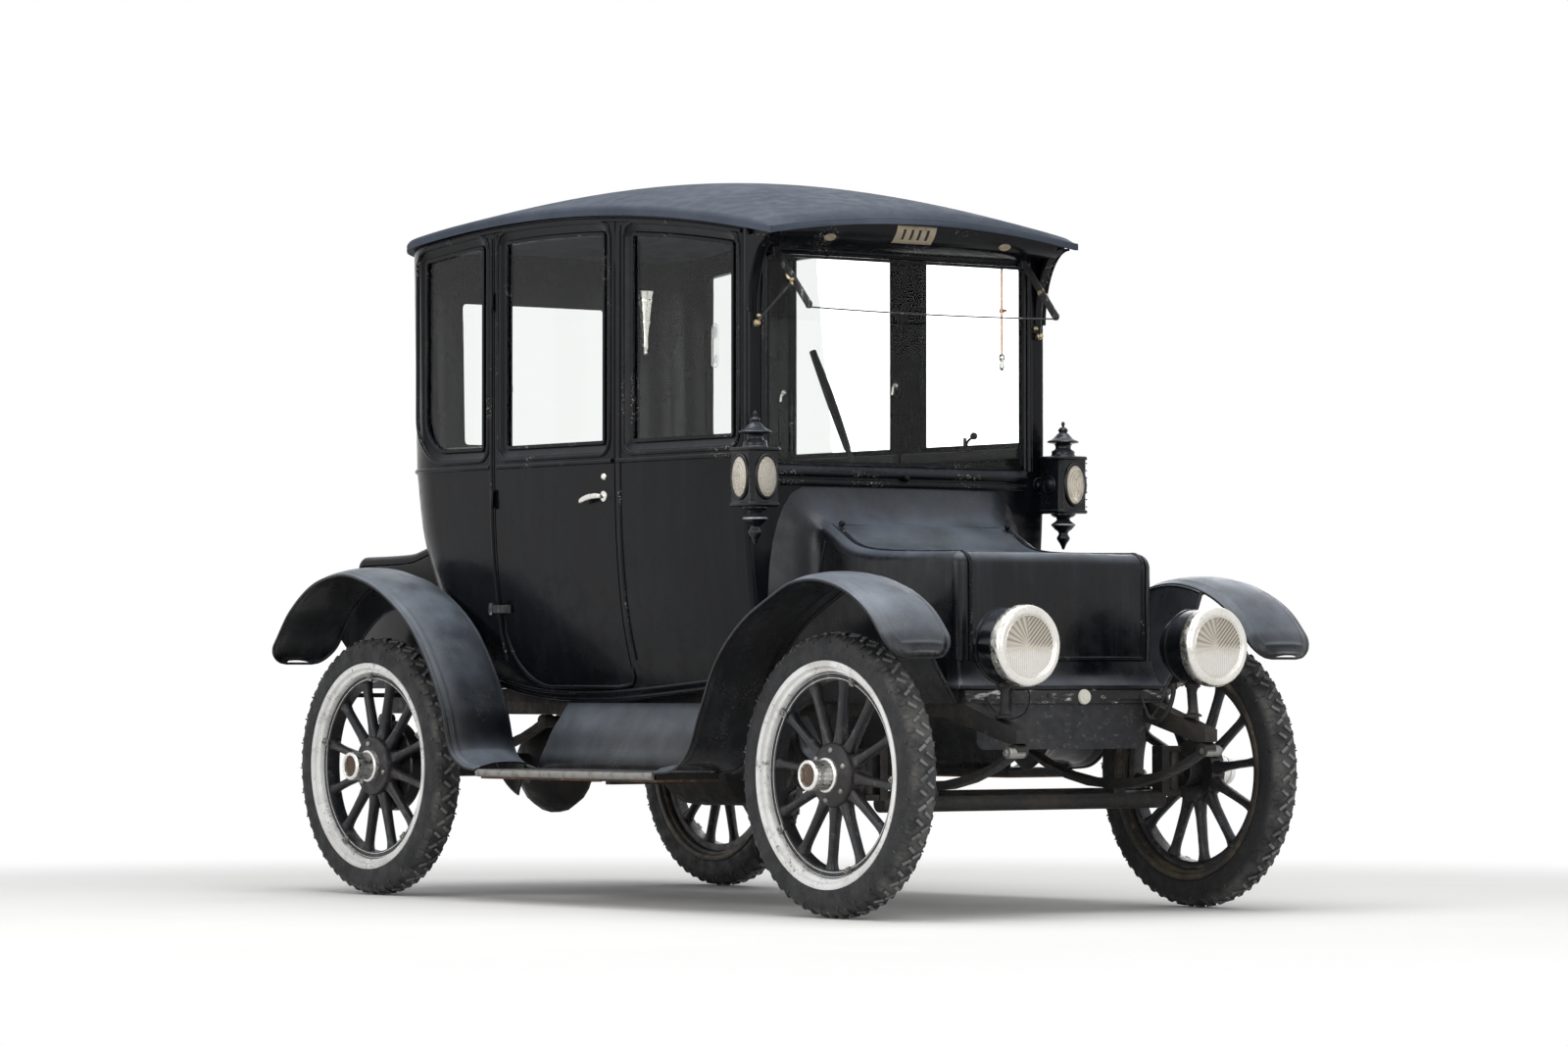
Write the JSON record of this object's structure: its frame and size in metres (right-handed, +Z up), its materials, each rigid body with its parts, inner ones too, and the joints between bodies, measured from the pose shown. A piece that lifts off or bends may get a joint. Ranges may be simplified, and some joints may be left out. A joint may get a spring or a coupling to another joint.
{
  "type": "brass era electric coupe car",
  "caption": "Closed electric coupe car of the brass era: glazed upright cabin on open spoked wheels, with flared fenders, drum headlamps, carriage lanterns, doors, lids and steering.",
  "frame": {"origin": "on the ground under the middle of the car", "axes": "+Z up, +Y towards the tail, +X the car's left side"},
  "size_m": [1.697, 3.53, 2.3477],
  "materials": {
    "black_enamel": "black enamel, softly glossy with age",
    "roof_fabric": "black grained coated fabric",
    "tyre": "black rubber with a block tread",
    "wheel_black": "black paint, light rim ring",
    "glass": "clear",
    "chassis_iron": "black paint with road dust and rust",
    "upholstery": "striped cloth",
    "floor_wood": "carpeted boards",
    "battery": "black rubber battery tray"
  },
  "bodies": {
    "car": {"cabin_body": "black_enamel", "cabin_floor": "floor_wood", "chair_cushion": "upholstery", "chair_pedestal": "chassis_iron", "chassis_frame": "chassis_iron", "deck_body": "black_enamel", "drive_motor": "chassis_iron", "fender_front_left": "black_enamel", "fender_front_right": "black_enamel", "fender_rear_left": "black_enamel", "fender_rear_right": "black_enamel", "front_axle": "chassis_iron", "front_battery": "battery", "front_plate": "black_enamel", "front_quarter_glass_left": "glass", "front_quarter_glass_right": "glass", "headlamp_left": "black_enamel", "headlamp_right": "black_enamel", "hood_body": "black_enamel", "lantern_left": "black_enamel", "lantern_right": "black_enamel", "rear_axle": "chassis_iron", "rear_backrest": "upholstery", "rear_battery": "battery", "rear_cushion": "upholstery", "rear_glass": "glass", "rear_quarter_glass_left": "glass", "rear_quarter_glass_right": "glass", "roof": "roof_fabric", "running_board_left": "black_enamel", "running_board_right": "black_enamel", "tiller": "chassis_iron", "windshield_glass": "glass"},
    "knuckle_left": {"knuckle_left": "chassis_iron"},
    "knuckle_right": {"knuckle_right": "chassis_iron"},
    "tie_rod": {"tie_rod": "chassis_iron"},
    "wheel_front_left": {"wheel_front_left": "wheel_black", "tyre_front_left": "tyre"},
    "wheel_front_right": {"wheel_front_right": "wheel_black", "tyre_front_right": "tyre"},
    "wheel_rear_left": {"wheel_rear_left": "wheel_black", "tyre_rear_left": "tyre"},
    "wheel_rear_right": {"wheel_rear_right": "wheel_black", "tyre_rear_right": "tyre"},
    "door_left": {"door_left": "black_enamel", "door_glass_left": "glass"},
    "door_right": {"door_right": "black_enamel", "door_glass_right": "glass"},
    "hood_lid": {"hood_lid": "black_enamel"},
    "deck_lid": {"deck_lid": "black_enamel"}
  },
  "joints": [
    {"name": "steer_right", "type": "hinge", "parent": "car", "child": "knuckle_right", "pos_m": [-0.61, -1.275, 0.42992], "axis": [0, 0, 1], "range_deg": [-28, 28]},
    {"name": "steer_left", "type": "hinge", "parent": "car", "child": "knuckle_left", "pos_m": [0.61, -1.275, 0.42992], "axis": [0, 0, 1], "range_deg": [-28, 28]},
    {"name": "tie_rod_pivot", "type": "hinge", "parent": "knuckle_left", "child": "tie_rod", "pos_m": [0.61, -1.155, 0.36642], "axis": [0, 0, 1], "range_deg": [-28, 28]},
    {"name": "spin_front_right", "type": "hinge", "parent": "knuckle_right", "child": "wheel_front_right", "pos_m": [-0.7175, -1.275, 0.42992], "axis": [1, 0, 0], "continuous": true},
    {"name": "spin_front_left", "type": "hinge", "parent": "knuckle_left", "child": "wheel_front_left", "pos_m": [0.7175, -1.275, 0.42992], "axis": [1, 0, 0], "continuous": true},
    {"name": "spin_rear_right", "type": "hinge", "parent": "car", "child": "wheel_rear_right", "pos_m": [-0.7175, 1.225, 0.42992], "axis": [1, 0, 0], "continuous": true},
    {"name": "spin_rear_left", "type": "hinge", "parent": "car", "child": "wheel_rear_left", "pos_m": [0.7175, 1.225, 0.42992], "axis": [1, 0, 0], "continuous": true},
    {"name": "door_hinge_right", "type": "hinge", "parent": "car", "child": "door_right", "pos_m": [-0.616, 0.715, 1.2], "axis": [0, 0, -1], "range_deg": [0, 75]},
    {"name": "door_hinge_left", "type": "hinge", "parent": "car", "child": "door_left", "pos_m": [0.616, 0.715, 1.2], "axis": [0, 0, 1], "range_deg": [0, 75]},
    {"name": "hood_hinge", "type": "hinge", "parent": "car", "child": "hood_lid", "pos_m": [0, -0.775, 1.2], "axis": [-1, 0, 0], "range_deg": [0, 60]},
    {"name": "deck_hinge", "type": "hinge", "parent": "car", "child": "deck_lid", "pos_m": [0, 1.33, 1.17], "axis": [1, 0, 0], "range_deg": [0, 60]}
  ],
  "couplings": [
    {"joint": "steer_right", "follows": "steer_left", "ratio": 1},
    {"joint": "tie_rod_pivot", "follows": "steer_left", "ratio": -1}
  ]
}
